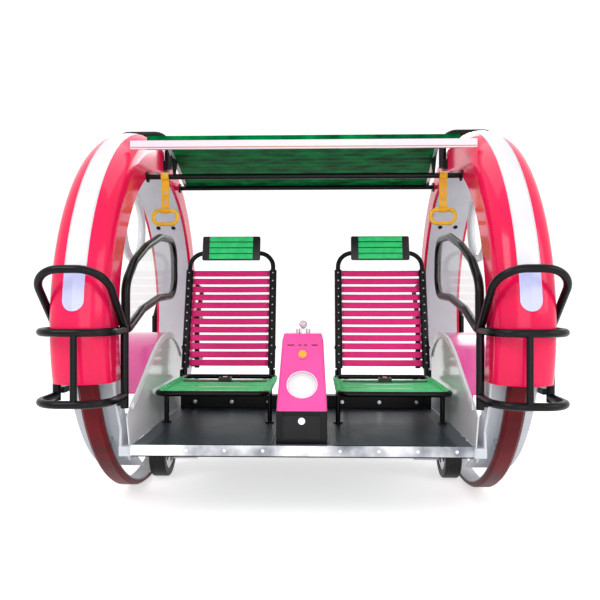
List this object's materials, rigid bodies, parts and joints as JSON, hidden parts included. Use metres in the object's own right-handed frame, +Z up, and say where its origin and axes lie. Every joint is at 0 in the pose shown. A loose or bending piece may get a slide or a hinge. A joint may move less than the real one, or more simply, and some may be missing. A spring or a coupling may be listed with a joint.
{
  "type": "rocking ride car",
  "caption": "Rocking ride car with two tall ring wheels, a cabin with two banded chairs, a joystick pedestal, side windows and a canopy.",
  "frame": {"origin": "on the ground, midway between the ring wheels, under their centre", "axes": "+X to the right, +Y to the rear, +Z up"},
  "size_m": [1.99, 1.992, 1.79],
  "materials": {
    "arch_pink": "gloss",
    "lamp_white": "gloss",
    "panel_grey": "satin",
    "chrome": "mirror",
    "tube_black": "gloss",
    "ring_red": "gloss",
    "rim_grey": "satin",
    "rubber_black": "matte",
    "hub_grey": "satin",
    "steel": "satin",
    "nylon": "matte",
    "halo_white": "gloss",
    "clear_pane": "clear",
    "console_pink": "gloss",
    "deck_grey": "satin",
    "mat_dark": "matte",
    "mirror_steel": "mirror",
    "beam_black": "gloss",
    "battery_grey": "matte",
    "amber": "gloss",
    "dome_white": "gloss",
    "stick_black": "satin",
    "bungee_green": "satin",
    "bungee_magenta": "satin",
    "head_green": "woven",
    "belt_black": "woven",
    "button_red": "gloss",
    "canopy_green": "gloss",
    "rail_aluminium": "satin",
    "fascia_white": "gloss",
    "strap_yellow": "satin"
  },
  "bodies": {
    "cabin": {"arch_shells": "arch_pink", "arch_lamps": "lamp_white", "arch_hoops": "panel_grey", "side_frames": "panel_grey", "hoop_end_bolts": "chrome", "roller_brackets": "steel", "guide_pads": "nylon", "front_guards": "tube_black", "rear_guards": "tube_black", "crown_tubes": "tube_black", "halo_rings": "halo_white", "window_frames": "tube_black", "window_panes": "clear_pane", "pod_cheeks": "console_pink", "pod_lips": "lamp_white", "pod_covers": "console_pink", "deck_plate": "deck_grey", "platform_frame": "beam_black", "floor_mats": "mat_dark", "kick_plate": "mirror_steel", "seat_beam": "beam_black", "batteries": "battery_grey", "drive_motors": "steel", "console_base": "beam_black", "console_shell": "console_pink", "dome_lamp": "dome_white", "joystick_base": "chrome", "seat_frames": "tube_black", "seat_bands": "bungee_green", "back_frames": "tube_black", "back_bands": "bungee_magenta", "headrests": "head_green", "seat_belts": "belt_black", "canopy_panel": "canopy_green", "canopy_fascia": "fascia_white", "canopy_rails": "rail_aluminium", "canopy_frame": "tube_black"},
    "console_door": {"console_door": "beam_black"},
    "door_lock": {"door_lock": "chrome"},
    "amber_button": {"amber_button": "amber"},
    "joystick_gimbal": {"joystick_gimbal": "steel"},
    "joystick_lever": {"joystick_lever": "stick_black"},
    "belt_button_left": {"belt_button_left": "button_red"},
    "belt_button_right": {"belt_button_right": "button_red"},
    "ring_wheel_left": {"ring_tyre_left": "ring_red", "ring_rim_left": "rim_grey"},
    "drive_wheel_left": {"drive_tyre_left": "rubber_black", "drive_hub_left": "hub_grey"},
    "grab_strap_left": {"grab_strap_left": "strap_yellow"},
    "strap_handle_left": {"strap_handle_left": "strap_yellow"},
    "guide_roller_left_front": {"guide_roller_left_front": "nylon"},
    "guide_roller_left_rear": {"guide_roller_left_rear": "nylon"},
    "ring_wheel_right": {"ring_tyre_right": "ring_red", "ring_rim_right": "rim_grey"},
    "drive_wheel_right": {"drive_tyre_right": "rubber_black", "drive_hub_right": "hub_grey"},
    "grab_strap_right": {"grab_strap_right": "strap_yellow"},
    "strap_handle_right": {"strap_handle_right": "strap_yellow"},
    "guide_roller_right_front": {"guide_roller_right_front": "nylon"},
    "guide_roller_right_rear": {"guide_roller_right_rear": "nylon"}
  },
  "joints": [
    {"name": "ring_spin_left", "type": "hinge", "parent": "cabin", "child": "ring_wheel_left", "pos_m": [-0.84, 0, 0.82], "axis": [1, 0, 0], "continuous": true},
    {"name": "roller_spin_left_rear", "type": "hinge", "parent": "cabin", "child": "guide_roller_left_rear", "pos_m": [-0.84, 0.57125, 0.30564], "axis": [1, 0, 0], "continuous": true},
    {"name": "roller_spin_left_front", "type": "hinge", "parent": "cabin", "child": "guide_roller_left_front", "pos_m": [-0.84, -0.57125, 0.30564], "axis": [1, 0, 0], "continuous": true},
    {"name": "drive_spin_left", "type": "hinge", "parent": "cabin", "child": "drive_wheel_left", "pos_m": [-0.745, 0.06, 0.15], "axis": [1, 0, 0], "continuous": true},
    {"name": "strap_swing_left", "type": "hinge", "parent": "cabin", "child": "grab_strap_left", "pos_m": [-0.64, -0.33, 1.49], "axis": [1, 0, 0], "range_deg": [-60, 60]},
    {"name": "handle_swing_left", "type": "hinge", "parent": "grab_strap_left", "child": "strap_handle_left", "pos_m": [-0.64, -0.33, 1.333], "axis": [1, 0, 0], "range_deg": [-40, 40]},
    {"name": "belt_button_press_left", "type": "slide", "parent": "cabin", "child": "belt_button_left", "axis": [0, 0, -1], "range_m": [0, 0.003], "stiffness_N_per_m": 400},
    {"name": "ring_spin_right", "type": "hinge", "parent": "cabin", "child": "ring_wheel_right", "pos_m": [0.84, 0, 0.82], "axis": [1, 0, 0], "continuous": true},
    {"name": "roller_spin_right_rear", "type": "hinge", "parent": "cabin", "child": "guide_roller_right_rear", "pos_m": [0.84, 0.57125, 0.30564], "axis": [1, 0, 0], "continuous": true},
    {"name": "roller_spin_right_front", "type": "hinge", "parent": "cabin", "child": "guide_roller_right_front", "pos_m": [0.84, -0.57125, 0.30564], "axis": [1, 0, 0], "continuous": true},
    {"name": "drive_spin_right", "type": "hinge", "parent": "cabin", "child": "drive_wheel_right", "pos_m": [0.745, 0.06, 0.15], "axis": [1, 0, 0], "continuous": true},
    {"name": "strap_swing_right", "type": "hinge", "parent": "cabin", "child": "grab_strap_right", "pos_m": [0.64, -0.33, 1.49], "axis": [1, 0, 0], "range_deg": [-60, 60]},
    {"name": "handle_swing_right", "type": "hinge", "parent": "grab_strap_right", "child": "strap_handle_right", "pos_m": [0.64, -0.33, 1.333], "axis": [1, 0, 0], "range_deg": [-40, 40]},
    {"name": "belt_button_press_right", "type": "slide", "parent": "cabin", "child": "belt_button_right", "axis": [0, 0, -1], "range_m": [0, 0.003], "stiffness_N_per_m": 400},
    {"name": "console_door_swing", "type": "hinge", "parent": "cabin", "child": "console_door", "pos_m": [-0.079, -0.6653, 0.4], "axis": [0, 0, -1], "range_deg": [0, 110]},
    {"name": "door_lock_turn", "type": "hinge", "parent": "console_door", "child": "door_lock", "pos_m": [0, -0.6653, 0.426], "axis": [0, -1, 0], "range_deg": [0, 90]},
    {"name": "amber_button_press", "type": "slide", "parent": "cabin", "child": "amber_button", "axis": [0, 0.7955, -0.606], "range_m": [0, 0.005], "stiffness_N_per_m": 400},
    {"name": "joystick_roll_x", "type": "hinge", "parent": "cabin", "child": "joystick_gimbal", "pos_m": [0, -0.35, 0.781], "axis": [1, 0, 0], "range_deg": [-12, 12], "stiffness_Nm_per_rad": 0.6},
    {"name": "joystick_roll_y", "type": "hinge", "parent": "joystick_gimbal", "child": "joystick_lever", "pos_m": [0, -0.35, 0.781], "axis": [0, 1, 0], "range_deg": [-12, 12], "stiffness_Nm_per_rad": 0.6}
  ],
  "couplings": [
    {"joint": "roller_spin_left_rear", "follows": "ring_spin_left", "ratio": 35.955},
    {"joint": "roller_spin_left_front", "follows": "ring_spin_left", "ratio": 35.955},
    {"joint": "roller_spin_right_rear", "follows": "ring_spin_right", "ratio": 35.955},
    {"joint": "roller_spin_right_front", "follows": "ring_spin_right", "ratio": 35.955}
  ]
}
